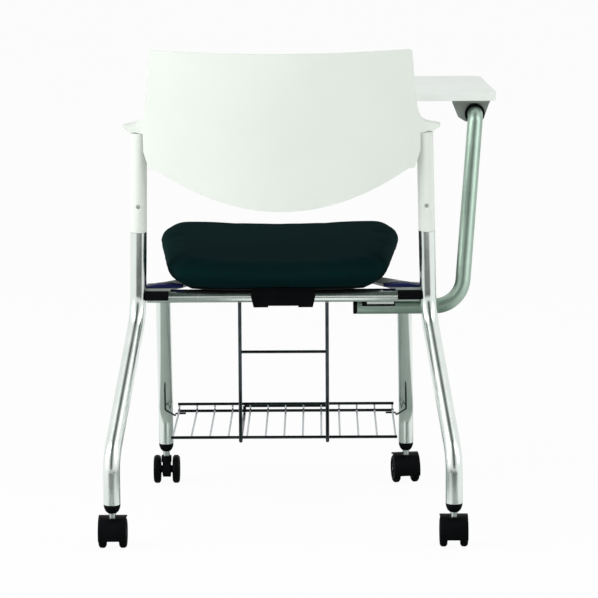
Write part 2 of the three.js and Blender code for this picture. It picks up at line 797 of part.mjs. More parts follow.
// Tablet arm: bent tube with an end cap, the saddle that holds it to the cross tube, the pivot

const pivotX = -armOuterHigh;
const pivotAt = (y) => vec(pivotX, y, pivotHeight);
const bushFace = -armTipForward - seatedGap - bushThickness;
const bracketRear = bushFace - seatedGap;
const pivotPinRadius = 8;
const tabletBracketDepth = 26;

function buildTabletArm() {
  const endCapThickness = 6.5;
  const endCapSpigot = 14;
  const spigotRadius = armTubeRadius - tubeWall - seatedGap * 2;
  const saddleInnerX = 131;
  const saddleOuterX = 186;
  const saddleEar = 2.4;
  const clampInnerX = 139;
  const clampOuterX = 184;
  const clampThickness = 2;
  const saddleSetBack = 8.2;
  const bushOuterRadius = 17;
  const pivotNeck = 12;
  const pivotHeadRadius = 12;
  const pivotHeadHeight = 3;

  const inner = vec(-armInnerEnd, -armForward, armHeight);
  const low = vec(-armOuterLow, -armForward, armHeight);
  const high = vec(pivotX, -pivotForward, pivotHeight);
  const tip = pivotAt(-armTipForward);
  addPiece("arm_tube", pipe([inner, low, high, tip], [armBendRadius, elbowBendRadius], armTubeRadius), finishes.silverTube);

  const capFoot = vec(-armInnerEnd - endCapSpigot, -armForward, armHeight);
  const capHead = vec(-armInnerEnd + seatedGap + endCapThickness, -armForward, armHeight);
  const capSide = endCapSpigot + seatedGap;
  const capProfile = [
    [0, 0],
    [spigotRadius, 0],
    [spigotRadius, capSide],
    [armTubeRadius, capSide],
    [armTubeRadius, capSide + endCapThickness - 1],
    [armTubeRadius - 1, capSide + endCapThickness],
    [0, capSide + endCapThickness],
  ];
  addPiece("arm_end_cap", turned(capProfile, capFoot, capHead), finishes.blackPlastic);

  const crossRelief = pin(
    holeRadius(crossTubeRadius, seatedGap, roundSides),
    vec(-overrun * 4, crossAxisY, crossTubeHeight),
    vec(0, crossAxisY, crossTubeHeight)
  );
  const armRelief = pin(
    holeRadius(armTubeRadius, seatedGap, roundSides),
    vec(-overrun * 4, -armForward, armHeight),
    vec(0, -armForward, armHeight)
  );
  // A point round a tube's axis, by angle from the rear, counted upward.
  const round = (y, z, radius, degrees) => {
    const angle = THREE.MathUtils.degToRad(degrees);
    return [y + radius * Math.cos(angle), z + radius * Math.sin(angle)];
  };
  const onCross = (degrees) => round(crossAxisY, crossTubeHeight, crossTubeRadius + saddleEar, degrees);
  const onArm = (degrees) => round(-armForward, armHeight, armTubeRadius + saddleEar, degrees);
  const saddleRear = crossAxisY - saddleSetBack;
  const saddleOutline = [
    [saddleRear, armHeight + saddleEar],
    [saddleRear, crossTubeHeight - crossTubeRadius / 2],
    onCross(200),
    onArm(110),
    [-armForward, armHeight + armTubeRadius / 2],
  ];
  const saddle = cut(solid(sideSlab(saddleOutline, -saddleOuterX, -saddleInnerX)), crossRelief, armRelief);
  addPiece("arm_saddle", shaped(saddle), finishes.blackPlastic);

  const clampLow = armHeight + armTubeRadius / 2;
  const clampHigh = crossTubeHeight - crossTubeRadius + saddleEar / 2;
  const clampOutline = [
    [saddleRear + seatedGap, clampLow],
    [saddleRear + seatedGap, clampHigh],
    [saddleRear + seatedGap + clampThickness, clampHigh],
    [saddleRear + seatedGap + clampThickness, clampLow],
  ];
  addPiece("arm_clamp_plate", sideSlab(clampOutline, -clampOuterX, -clampInnerX), finishes.steelPin);

  const boreRadius = holeRadius(pivotPinRadius, seatedGap, roundSides);
  const bushProfile = [
    [boreRadius, 0],
    [bushOuterRadius, 0],
    [bushOuterRadius, bushThickness],
    [boreRadius, bushThickness],
    [boreRadius, 0],
  ];
  addPiece("pivot_bush", turned(bushProfile, pivotAt(bushFace), pivotAt(0)), finishes.blackPlastic);

  const headStart = bracketRear - tabletBracketDepth - seatedGap;
  const pinFoot = -armTipForward + pivotNeck / 2;
  const shoulderAt = pivotNeck / 2 - seatedGap;
  const shankEnd = pinFoot - headStart;
  const pinProfile = [
    [0, 0],
    [spigotRadius, 0],
    [spigotRadius, shoulderAt],
    [pivotPinRadius, shoulderAt],
    [pivotPinRadius, shankEnd],
    [pivotHeadRadius, shankEnd],
    [pivotHeadRadius, shankEnd + pivotHeadHeight],
    [0, shankEnd + pivotHeadHeight],
  ];
  addPiece("pivot_pin", turned(pinProfile, pivotAt(pinFoot), pivotAt(-overrun * 10)), finishes.steelPin);
}

// Tablet: board, cast bracket and its screws

function buildTablet() {
  const cornerRadius = 22;
  const innerCorner = 50;
  const elbowRun = 90;
  const bracketInnerTop = 285;
  const bracketOuterTop = 348;
  const flangeThickness = 4;
  const flangeRear = 314;
  const flangeFront = 420;
  const ribThickness = 8;
  const hubRadius = 16.5;
  const screwHeadRadius = 4;
  const screwShank = 12;
  const screwSpread = 22;
  const screwForward = 400;
  const hubShares = [
    [0.16, -0.35],
    [0.34, -0.8],
    [0.6, -1],
    [0.76, -0.8],
    [0.86, -0.35],
  ];

  const board = new THREE.Shape();
  board.moveTo(-tabletOuterRear, -tabletRearForward - cornerRadius);
  board.lineTo(-tabletOuterFront, -tabletFrontForward + cornerRadius);
  board.quadraticCurveTo(-tabletOuterFront, -tabletFrontForward, -tabletOuterFront + cornerRadius, -tabletFrontForward);
  board.lineTo(-tabletInner - innerCorner, -tabletFrontForward);
  board.quadraticCurveTo(-tabletInner, -tabletFrontForward, -tabletInner, -tabletFrontForward + innerCorner);
  board.bezierCurveTo(
    -tabletInner,
    -tabletElbowForward - elbowRun / 2,
    -tabletElbowInner,
    -tabletElbowForward - elbowRun / 2,
    -tabletElbowInner,
    -tabletElbowForward
  );
  board.lineTo(-tabletElbowInner, -tabletRearForward - cornerRadius);
  board.quadraticCurveTo(-tabletElbowInner, -tabletRearForward, -tabletElbowInner - cornerRadius, -tabletRearForward);
  board.lineTo(-tabletOuterRear + cornerRadius, -tabletRearForward);
  board.quadraticCurveTo(-tabletOuterRear, -tabletRearForward, -tabletOuterRear, -tabletRearForward - cornerRadius);
  const boardBlock = new THREE.ExtrudeGeometry(board, {
    depth: tabletThickness,
    curveSegments: 10,
    bevelEnabled: false,
  });
  const boardBottom = tabletTopHeight - tabletThickness;
  boardBlock.translate(0, 0, boardBottom);

  const down = vec(0, 0, -1);
  const flangeBottom = boardBottom - flangeThickness;
  const flangeCentre = -(bracketInnerTop + bracketOuterTop) / 2;
  const screwPlaces = [-1, 1].map((side) => vec(flangeCentre + side * screwSpread, -screwForward, flangeBottom));
  const pockets = screwPlaces.map((place) => screwPocket(place, down, screwHeadRadius, screwShank));
  addPiece("tablet_board", shaped(cut(solid(boardBlock), ...pockets)), finishes.tabletBoard);

  const width = bracketOuterTop - bracketInnerTop;
  const hubOutline = [
    [-bracketInnerTop, boardBottom],
    [-bracketInnerTop, flangeBottom],
    ...hubShares.map(([x, z]) => [-bracketInnerTop - width * x, pivotHeight + hubRadius * z]),
    [-bracketOuterTop, flangeBottom],
    [-bracketOuterTop, boardBottom],
  ];
  const hub = slab(hubOutline, bracketRear, bracketRear - tabletBracketDepth);
  const flange = box(
    vec(-bracketOuterTop, -flangeFront, flangeBottom),
    vec(-bracketInnerTop, -flangeRear, boardBottom)
  );
  const ribOutline = [
    [bracketRear - tabletBracketDepth / 2, flangeBottom + flangeThickness / 2],
    [bracketRear - tabletBracketDepth / 2, pivotHeight + hubRadius / 2],
    [bracketRear - tabletBracketDepth, pivotHeight + hubRadius / 2],
    [-screwForward, flangeBottom],
    [-screwForward, flangeBottom + flangeThickness / 2],
  ];
  const rib = sideSlab(ribOutline, flangeCentre - ribThickness / 2, flangeCentre + ribThickness / 2);
  const pinHole = pin(holeRadius(pivotPinRadius, seatedGap, roundSides), pivotAt(0), pivotAt(-overrun * 10));
  const headSpace = pin(hubRadius, pivotAt(bracketRear - tabletBracketDepth), pivotAt(-overrun * 10));
  const bracket = cut(joined(hub, flange, rib), pinHole, headSpace, ...pockets);
  addPiece("tablet_bracket", shaped(bracket), finishes.castGrey);
  addPiece("tablet_screw_inner", screw(screwPlaces[1], down, screwHeadRadius, screwShank), finishes.steelPin);
  addPiece("tablet_screw_outer", screw(screwPlaces[0], down, screwHeadRadius, screwShank), finishes.steelPin);
}

// Book basket: the wire floor, the hanger under the cross tube, the hooks into the front legs

function buildBasket() {
  const lipBendRadius = 6;
  const rodBendRadius = 6;
  const rodFrontReach = 8;
  const hookStickIn = 5;
  const hookStickOut = 6;
  const hookRun = 18;
  const hookInset = 4;
  const hookTurnHeight = 152;
  const hookBendRadius = 4;

  const across = (y, z, radius) =>
    wire([vec(-basketHalfWidth, y, z), vec(basketHalfWidth, y, z)], [], radius);
  const strands = [
    across(-basketRearForward, basketFloorHeight, basketRailRadius),
    across(-basketFrontForward, basketLipHeight, basketRailRadius),
    across(-basketFrontForward + lipBendRadius, basketFrontHeight, basketRailRadius),
  ];
  const edge = basketHalfWidth - basketRailRadius;
  for (let i = 0; i < basketWires; i++) {
    const x = edge * ((2 * i) / (basketWires - 1) - 1);
    const corners = [
      vec(x, -basketRearForward, basketFloorHeight),
      vec(x, -basketFrontForward, basketFrontHeight),
      vec(x, -basketFrontForward, basketLipHeight),
    ];
    strands.push(wire(corners, [lipBendRadius], basketWireRadius));
  }
  addPiece("book_basket", shaped(joined(...strands)), finishes.chromeWire);

  const rodX = basketRodSpacing / 2;
  const rodTop = crossTubeHeight - crossTubeRadius - seatedGap;
  const rodBottom = basketFloorHeight - basketRailRadius - seatedGap * 2 - basketRodRadius;
  const rodRear = -basketRearForward + basketRailRadius + seatedGap * 2 + basketRodRadius;
  const rodFrontY = -basketFrontForward - rodFrontReach;
  const rodCorners = [
    vec(rodX, crossAxisY, rodTop),
    vec(rodX, rodRear, rodBottom),
    vec(rodX, rodFrontY, rodBottom - basketFloorHeight + basketFrontHeight),
    vec(rodX, rodFrontY, (basketFrontHeight + basketLipHeight) / 2),
  ];
  const rodBends = [rodBendRadius, rodBendRadius];
  const leftRod = wire(rodCorners, rodBends, basketRodRadius);
  const rightRod = wire(rodCorners.map(mirrored), rodBends, basketRodRadius);
  const frontTie = wire([mirrored(rodCorners[3]), rodCorners[3]], [], basketRailRadius);
  const crossShare = (rodTop - basketCrossWireHeight) / (rodTop - rodBottom);
  const crossWire = rodCorners[0].clone().lerp(rodCorners[1], crossShare);
  const tie = wire([mirrored(crossWire), crossWire], [], basketRailRadius);
  addPiece("basket_hanger", shaped(joined(leftRod, rightRod, tie, frontTie)), finishes.chromeWire);

  const besideLeg = frontTubeRadius + hookStickOut;
  const hookStart = hookHoleAxis.clone().addScaledVector(hookDirection, frontTubeRadius - hookStickIn);
  const hookOut = hookHoleAxis.clone().addScaledVector(hookDirection, besideLeg);
  const hookDown = frontLegAt(hookTurnHeight).addScaledVector(hookDirection, besideLeg);
  const hookX = basketHalfWidth + hookInset;
  const restHeight = basketFrontHeight - basketRailRadius - seatedGap - basketWireRadius;
  const restForward = basketFrontForward - lipBendRadius;
  const hookCorners = [
    hookStart,
    hookOut,
    hookDown,
    vec(hookX, hookDown.y, restHeight),
    vec(hookX, -restForward, restHeight),
    vec(hookX - hookRun, -restForward, restHeight),
  ];
  const radii = [hookBendRadius, hookBendRadius, hookBendRadius, hookBendRadius];
  addPair("basket_hook", wire(hookCorners, radii, basketWireRadius), finishes.chromeWire);
}

// Casters: plug in the leg, housing with its stem, axle, two wheels

// The housing has a hood over its wheels, or leaves them bare as the front left one does.
function casterHousing(hooded) {
  const hoodInnerRadius = 26.4;
  const hoodOuterRadius = 28.6;
  const hoodHalfWidth = wheelInnerFace + wheelThickness;
  const hoodStart = -0.3;
  const hoodEnd = 2.05;
  const hoodSteps = 10;
  const webHalfWidth = 6.8;
  const bareWebReach = 22;
  const bareWebDrop = 14;
  const hubRadius = 6.6;
  const bossRadius = 9;
  const bossFoot = 40;
  const stemTop = 86;
  const arc = (radius, from, to, steps) => {
    const points = [];
    for (let i = 0; i <= steps; i++) {
      const angle = from + ((to - from) * i) / steps;
      points.push([-casterTrail + radius * Math.cos(angle), wheelRadius + radius * Math.sin(angle)]);
    }
    return points;
  };
  const hoodOutline = [
    ...arc(hoodOuterRadius, hoodStart, hoodEnd, hoodSteps),
    ...arc(hoodInnerRadius, hoodEnd, hoodStart, hoodSteps),
  ];
  const webReach = hooded ? (hoodInnerRadius + hoodOuterRadius) / 2 : bareWebReach;
  const webOutline = [
    ...arc(webReach, hoodStart, hoodEnd, hoodSteps),
    ...arc(bareWebDrop, hoodEnd + 0.6, hoodStart + 2 * Math.PI - 0.3, 8),
  ];
  const hood = sideSlab(hoodOutline, -hoodHalfWidth, hoodHalfWidth);
  const web = sideSlab(webOutline, -webHalfWidth, webHalfWidth);
  const spacerReach = wheelInnerFace - seatedGap;
  const spacer = pin(hubRadius, vec(-spacerReach, -casterTrail, wheelRadius), vec(spacerReach, -casterTrail, wheelRadius));
  const boss = pin(bossRadius, vec(0, 0, bossFoot), vec(0, 0, wheelRadius + hoodInnerRadius), tubeSides);
  const stem = pin(stemRadius, vec(0, 0, bossFoot), vec(0, 0, stemTop), tubeSides);
  const axleHole = pin(
    holeRadius(axleRadius, runningClearance, roundSides),
    vec(-overrun, -casterTrail, wheelRadius),
    vec(overrun, -casterTrail, wheelRadius)
  );
  const wheelSpace = wheelRadius + runningClearance * 8;
  const rooms = [-1, 1].map((side) =>
    pin(
      wheelSpace,
      vec(side * (wheelInnerFace - seatedGap), -casterTrail, wheelRadius),
      vec(side * overrun, -casterTrail, wheelRadius),
      roundSides * 2
    )
  );
  const parts = hooded ? [hood, web, spacer, boss, stem] : [web, spacer, boss, stem];
  return shaped(cut(joined(...parts), axleHole, ...rooms));
}

function casterWheel(side) {
  const rimRound = 3;
  const recessDepth = 2;
  const recessRadius = 18;
  const hubRadius = 6;
  const bore = holeRadius(axleRadius, runningClearance, roundSides);
  const profile = [
    [bore, 0],
    [wheelRadius - rimRound, 0],
    [wheelRadius, rimRound],
    [wheelRadius, wheelThickness - rimRound],
    [wheelRadius - rimRound, wheelThickness],
    [recessRadius, wheelThickness],
    [recessRadius - recessDepth, wheelThickness - recessDepth],
    [hubRadius + recessDepth, wheelThickness - recessDepth],
    [hubRadius, wheelThickness],
    [bore, wheelThickness],
    [bore, 0],
  ];
  const inner = vec(side * wheelInnerFace, -casterTrail, wheelRadius);
  return turned(profile, inner, vec(side * overrun, -casterTrail, wheelRadius));
}

function legPlug(tubeRadius, tubeEnd) {
  const cupShares = [
    [0.55, 0],
    [0.8, 0.25],
    [0.95, 0.6],
    [1, 0.85],
    [1, 1],
  ];
  const spigotLength = 18;
  const spigotRadius = tubeRadius - tubeWall - seatedGap * 2;
  const bore = holeRadius(stemRadius, runningClearance, roundSides);
  const shoulderHeightAbove = tubeEnd - seatedGap - plugFootHeight;
  const profile = [
    [bore, 0],
    ...cupShares.map(([r, h]) => [tubeRadius * r, shoulderHeightAbove * h]),
    [spigotRadius, shoulderHeightAbove],
    [spigotRadius, shoulderHeightAbove + spigotLength],
    [bore, shoulderHeightAbove + spigotLength],
    [bore, 0],
  ];
  return turned(profile, vec(0, 0, plugFootHeight), vec(0, 0, plugFootHeight + overrun));
}

function buildCaster(corner, x, y, turnDegrees, tubeRadius, tubeEnd, hooded = true) {
  const turn = THREE.MathUtils.degToRad(turnDegrees);
  const placed = (geometry) => geometry.rotateZ(turn).translate(x, y, 0);
  const axleReach = wheelInnerFace + wheelThickness - seatedGap;
  const axle = pin(
    axleRadius,
    vec(-axleReach, -casterTrail, wheelRadius),
    vec(axleReach, -casterTrail, wheelRadius)
  );
  addPiece(`leg_plug_${corner}`, placed(legPlug(tubeRadius, tubeEnd)), finishes.blackPlastic);
  addPiece(`caster_housing_${corner}`, placed(casterHousing(hooded)), finishes.blackPlastic);
  addPiece(`caster_axle_${corner}`, placed(axle), finishes.steelPin);
  addPiece(`caster_wheel_a_${corner}`, placed(casterWheel(1)), finishes.blackPlastic);
  addPiece(`caster_wheel_b_${corner}`, placed(casterWheel(-1)), finishes.blackPlastic);
}

buildRearLegs();
buildFrontLegs();
buildCrossTube();
buildSeatBrackets();
buildBackShell();
buildSeat();
buildSeatHinge();
buildTabletArm();
buildTablet();
buildBasket();
buildCaster("rear_left", rearFoot.x, 0, 0, rearTubeRadius, rearTubeEndHeight);
buildCaster("rear_right", -rearFoot.x, 0, 0, rearTubeRadius, rearTubeEndHeight);
buildCaster("front_left", frontFoot.x, frontFoot.y, 0, frontTubeRadius, frontTubeEndHeight, false);
buildCaster("front_right", -frontFoot.x, frontFoot.y, frontRightCasterTurn, frontTubeRadius, frontTubeEndHeight);

// The origin goes to the floor under the middle of the bounding box.
chair.updateMatrixWorld(true);
const bounds = new THREE.Box3().setFromObject(chair);
const middle = bounds.getCenter(new THREE.Vector3());
chair.position.set(-middle.x, -middle.y, -bounds.min.z);
chair.updateMatrixWorld(true);

export default chair;
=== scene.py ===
"""Looks of a nesting chair with a flip-up seat, a writing tablet and a wire book basket."""

import json
import math

import bmesh
import bpy
from mathutils import Matrix, Vector

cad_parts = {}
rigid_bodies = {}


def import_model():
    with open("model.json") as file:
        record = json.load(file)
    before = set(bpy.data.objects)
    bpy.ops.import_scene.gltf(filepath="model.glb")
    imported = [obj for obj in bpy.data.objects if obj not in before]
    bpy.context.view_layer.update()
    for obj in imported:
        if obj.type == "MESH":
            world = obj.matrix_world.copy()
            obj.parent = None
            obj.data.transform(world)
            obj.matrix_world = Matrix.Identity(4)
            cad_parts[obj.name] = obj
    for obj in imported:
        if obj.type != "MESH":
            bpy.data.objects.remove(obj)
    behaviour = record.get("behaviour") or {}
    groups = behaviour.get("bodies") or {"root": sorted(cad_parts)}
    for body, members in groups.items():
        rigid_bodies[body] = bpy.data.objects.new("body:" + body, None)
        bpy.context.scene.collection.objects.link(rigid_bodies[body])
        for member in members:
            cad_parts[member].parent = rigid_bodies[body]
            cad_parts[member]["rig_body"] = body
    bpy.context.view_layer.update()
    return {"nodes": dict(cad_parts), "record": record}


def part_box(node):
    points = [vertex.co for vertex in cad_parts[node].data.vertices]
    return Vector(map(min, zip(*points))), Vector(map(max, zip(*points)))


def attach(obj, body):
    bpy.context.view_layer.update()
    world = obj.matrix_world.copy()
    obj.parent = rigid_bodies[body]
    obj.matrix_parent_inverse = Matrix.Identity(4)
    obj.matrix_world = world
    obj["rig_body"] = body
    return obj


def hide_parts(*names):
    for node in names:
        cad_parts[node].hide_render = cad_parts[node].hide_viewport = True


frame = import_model()
cad_nodes = frame["nodes"]

MM = 0.001

# The chair's own zero is the floor midway between the rear caster stems. All its measures are in millimetres.
REAR_STEM_X = 275
FRONT_STEM_X = 211
FRONT_STEM_Y = -432
CROSS_TUBE_Y = -200
CROSS_TUBE_Z = 378

# The cross tube says where the chair's zero lies in the frame that all the pieces share.
tube_low, tube_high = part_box("cross_tube")
CHAIR_ZERO = (tube_low + tube_high) / 2 - Vector((0, CROSS_TUBE_Y, CROSS_TUBE_Z)) * MM

SIDES = (("left", 1), ("right", -1))
CORNERS = {
    "rear_left": (REAR_STEM_X, 0),
    "rear_right": (-REAR_STEM_X, 0),
    "front_left": (FRONT_STEM_X, FRONT_STEM_Y),
    "front_right": (-FRONT_STEM_X, FRONT_STEM_Y),
}


def at(x, y, z):
    """A place in the chair's own millimetres, as a place in the shared frame."""
    return CHAIR_ZERO + Vector((x, y, z)) * MM


# Nodes and colours


def put(tree, kind, inputs=(), **settings):
    """Adds a node with its settings. An input is a number, a colour or another node's output."""
    node = tree.nodes.new(kind)
    for name, value in settings.items():
        setattr(node, name, value)
    for key, value in dict(inputs).items():
        socket = node.inputs[key]
        if isinstance(value, bpy.types.NodeSocket):
            tree.links.new(value, socket)
        else:
            socket.default_value = value
    return node


def srgb(code):
    """A colour written as six hex digits, in the linear values that shaders take."""
    channels = []
    for i in (0, 2, 4):
        c = int(code[i : i + 2], 16) / 255
        channels.append(c / 12.92 if c <= 0.04045 else ((c + 0.055) / 1.055) ** 2.4)
    return (*channels, 1.0)


def new_finish(name):
    """An empty material, its node tree and its main shader."""
    finish = bpy.data.materials.new(name)
    finish.use_nodes = True
    tree = finish.node_tree
    return finish, tree, tree.nodes["Principled BSDF"]


def ramp_stops(ramp, *stops):
    """Puts the given positions and colours on a colour ramp."""
    elements = ramp.color_ramp.elements
    while len(elements) < len(stops):
        elements.new(0.5)
    for element, (position, colour) in zip(elements, stops):
        element.position = position
        element.color = srgb(colour)


def feed_shader(tree, shader, colour, rough, bump=None):
    """Leads a finish's colour, roughness and relief to its shader."""
    tree.links.new(colour.outputs["Color"], shader.inputs["Base Color"])
    tree.links.new(rough.outputs["Result"], shader.inputs["Roughness"])
    if bump:
        tree.links.new(bump.outputs["Normal"], shader.inputs["Normal"])


def scale_for(mm):
    """The scale of a noise whose patches or grains are this many millimetres across."""
    return 1 / (mm * MM)


# Finishes


def plated_steel(name, dark, light, low_rough, high_rough):
    """Drawn steel with nickel-chrome plating: bright, with a faint grain and a soft mirror."""
    finish, tree, shader = new_finish(name)
    place = put(tree, "ShaderNodeTexCoord").outputs["Object"]
    # Handling and polishing leave cloudy patches.
    clouds = put(tree, "ShaderNodeTexNoise", {"Vector": place, "Scale": scale_for(40), "Detail": 3})
    polish = put(tree, "ShaderNodeTexNoise", {"Vector": place, "Scale": scale_for(0.4), "Detail": 1})
    colour = put(tree, "ShaderNodeValToRGB", {"Fac": clouds.outputs["Fac"]})
    ramp_stops(colour, (0.3, dark), (0.7, light))
    rough = put(
        tree,
        "ShaderNodeMapRange",
        {"Value": clouds.outputs["Fac"], "To Min": low_rough, "To Max": high_rough},
    )
    bump = put(
        tree,
        "ShaderNodeBump",
        {"Height": polish.outputs["Fac"], "Strength": 0.05, "Distance": 0.05 * MM},
    )
    feed_shader(tree, shader, colour, rough, bump)
    shader.inputs["Metallic"].default_value = 1.0
    return finish


def chrome_with_painted_reflection(name, dark, light):
    """Chrome wire with a painted dark reflection in its colour: a hard mirror, a little duller where dust
    lies on it.
    """
    finish, tree, shader = new_finish(name)
    place = put(tree, "ShaderNodeTexCoord").outputs["Object"]
    dust = put(tree, "ShaderNodeTexNoise", {"Vector": place, "Scale": scale_for(16.667), "Detail": 4})
    rough = put(
        tree, "ShaderNodeMapRange", {"Value": dust.outputs["Fac"], "To Min": 0.06, "To Max": 0.16}
    )
    colour = put(tree, "ShaderNodeValToRGB", {"Fac": dust.outputs["Fac"]})
    ramp_stops(colour, (0.3, dark), (0.7, light))
    feed_shader(tree, shader, colour, rough)
    shader.inputs["Metallic"].default_value = 1.0
    return finish


def painted_casting():
    """Die-cast aluminium with grey powder coat: orange peel and a low sheen."""
    finish, tree, shader = new_finish("painted_casting")
    place = put(tree, "ShaderNodeTexCoord").outputs["Object"]
    peel = put(tree, "ShaderNodeTexNoise", {"Vector": place, "Scale": scale_for(2), "Detail": 2})
    tone = put(tree, "ShaderNodeTexNoise", {"Vector": place, "Scale": scale_for(25), "Detail": 2})
    colour = put(tree, "ShaderNodeValToRGB", {"Fac": tone.outputs["Fac"]})
    ramp_stops(colour, (0.3, "89918c"), (0.7, "9aa29c"))
    rough = put(
        tree, "ShaderNodeMapRange", {"Value": peel.outputs["Fac"], "To Min": 0.32, "To Max": 0.5}
    )
    bump = put(
        tree,
        "ShaderNodeBump",
        {"Height": peel.outputs["Fac"], "Strength": 0.2, "Distance": 0.1 * MM},
    )
    feed_shader(tree, shader, colour, rough, bump)
    shader.inputs["Metallic"].default_value = 0.35
    return finish


def moulded_white():
    """Moulded white polypropylene: a fine spark-eroded skin, softly glossy, slightly uneven in tone."""
    finish, tree, shader = new_finish("moulded_polypropylene")
    place = put(tree, "ShaderNodeTexCoord").outputs["Object"]
    skin = put(tree, "ShaderNodeTexNoise", {"Vector": place, "Scale": scale_for(0.71429), "Detail": 3})
    flow = put(tree, "ShaderNodeTexNoise", {"Vector": place, "Scale": scale_for(166.67), "Detail": 2})
    colour = put(tree, "ShaderNodeValToRGB", {"Fac": flow.outputs["Fac"]})
    ramp_stops(colour, (0.3, "e9f0e8"), (0.7, "eef4ed"))
    rough = put(
        tree, "ShaderNodeMapRange", {"Value": skin.outputs["Fac"], "To Min": 0.38, "To Max": 0.5}
    )
    bump = put(
        tree,
        "ShaderNodeBump",
        {"Height": skin.outputs["Fac"], "Strength": 0.15, "Distance": 0.08 * MM},
    )
    feed_shader(tree, shader, colour, rough, bump)
    shader.inputs["IOR"].default_value = 1.49
    return finish


def moulded_dark(name, light, dark, low_rough, high_rough):
    """Moulded glass-filled nylon or rubber: a fine grain that breaks up the highlights."""
    finish, tree, shader = new_finish(name)
    place = put(tree, "ShaderNodeTexCoord").outputs["Object"]
    grain = put(tree, "ShaderNodeTexNoise", {"Vector": place, "Scale": scale_for(0.625), "Detail": 2})
    tone = put(tree, "ShaderNodeTexNoise", {"Vector": place, "Scale": scale_for(33.333), "Detail": 3})
    colour = put(tree, "ShaderNodeValToRGB", {"Fac": tone.outputs["Fac"]})
    ramp_stops(colour, (0.3, dark), (0.7, light))
    rough = put(
        tree,
        "ShaderNodeMapRange",
        {"Value": tone.outputs["Fac"], "To Min": low_rough, "To Max": high_rough},
    )
    bump = put(
        tree,
        "ShaderNodeBump",
        {"Height": grain.outputs["Fac"], "Strength": 0.25, "Distance": 0.1 * MM},
    )
    feed_shader(tree, shader, colour, rough, bump)
    shader.inputs["IOR"].default_value = 1.53
    # The photograph's blacks are deep, so the sheen is kept under what nylon usually has.
    shader.inputs["Specular IOR Level"].default_value = 0.05
    return finish


def woven_upholstery():
    """Plain woven polyester seat cover: matt, with crossing threads and a heathered tone."""
    # The threads are a little coarser than real ones, so that they show.
    thread = 1.6 * MM
    # A wave texture's scale of 1 gives a band every 2 * pi / 20 of a metre.
    scale = 2 * math.pi / 20 / thread
    finish, tree, shader = new_finish("woven_upholstery")
    place = put(tree, "ShaderNodeTexCoord")
    threads = {"Vector": place.outputs["Object"], "Scale": scale, "Distortion": 0.4}
    warp = put(tree, "ShaderNodeTexWave", threads, wave_type="BANDS", bands_direction="X")
    weft = put(tree, "ShaderNodeTexWave", threads, wave_type="BANDS", bands_direction="Y")
    rise = put(tree, "ShaderNodeTexWave", threads, wave_type="BANDS", bands_direction="Z")
    cross = put(
        tree, "ShaderNodeMath", {0: warp.outputs["Fac"], 1: weft.outputs["Fac"]}, operation="MULTIPLY"
    )
    # Level threads show on the upright sides only. On the level top they would draw contour lines.
    facing = put(tree, "ShaderNodeSeparateXYZ", {"Vector": place.outputs["Normal"]})
    level = put(tree, "ShaderNodeMath", {0: facing.outputs["Z"]}, operation="ABSOLUTE")
    upright = put(
        tree,
        "ShaderNodeMapRange",
        {
            "Value": level.outputs["Value"],
            "From Min": 0.3,
            "From Max": 0.8,
            "To Min": 1.0,
            "To Max": 0.0,
        },
    )
    side = put(
        tree,
        "ShaderNodeMath",
        {0: rise.outputs["Fac"], 1: upright.outputs["Result"]},
        operation="MULTIPLY",
    )
    cloth = put(
        tree, "ShaderNodeMath", {0: cross.outputs["Value"], 1: side.outputs["Value"]}, operation="ADD"
    )
    heather = put(
        tree,
        "ShaderNodeTexNoise",
        {"Vector": place.outputs["Object"], "Scale": scale_for(1.4286), "Detail": 2},
    )
    mixed = put(
        tree,
        "ShaderNodeMath",
        {0: cloth.outputs["Value"], 1: heather.outputs["Fac"]},
        operation="MULTIPLY",
    )
    colour = put(tree, "ShaderNodeValToRGB", {"Fac": mixed.outputs["Value"]})
    ramp_stops(colour, (0.1, "061b1c"), (0.8, "082425"))
    rough = put(
        tree, "ShaderNodeMapRange", {"Value": heather.outputs["Fac"], "To Min": 0.8, "To Max": 0.98}
    )
    bump = put(
        tree,
        "ShaderNodeBump",
        {"Height": cloth.outputs["Value"], "Strength": 0.25, "Distance": 0.2 * MM},
    )
    feed_shader(tree, shader, colour, rough, bump)
    shader.inputs["Sheen Weight"].default_value = 0.01
    shader.inputs["Sheen Roughness"].default_value = 0.6
    shader.inputs["Sheen Tint"].default_value = srgb("1c4a4a")
    shader.inputs["Specular IOR Level"].default_value = 0.012
    return finish


def laminate_top():
    """White melamine board: smooth and faintly pebbled, with a soft gloss."""
    finish, tree, shader = new_finish("laminate_top")
    place = put(tree, "ShaderNodeTexCoord").outputs["Object"]
    pebble = put(tree, "ShaderNodeTexVoronoi", {"Vector": place, "Scale": scale_for(1.1111)})
    tone = put(tree, "ShaderNodeTexNoise", {"Vector": place, "Scale": scale_for(125), "Detail": 2})
    colour = put(tree, "ShaderNodeValToRGB", {"Fac": tone.outputs["Fac"]})
    ramp_stops(colour, (0.3, "eff4ef"), (0.7, "f6faf6"))
    rough = put(
        tree, "ShaderNodeMapRange", {"Value": pebble.outputs["Distance"], "To Min": 0.34, "To Max": 0.42}
    )
    bump = put(
        tree,
        "ShaderNodeBump",
        {"Height": pebble.outputs["Distance"], "Strength": 0.08, "Distance": 0.05 * MM},
    )
    feed_shader(tree, shader, colour, rough, bump)
    return finish


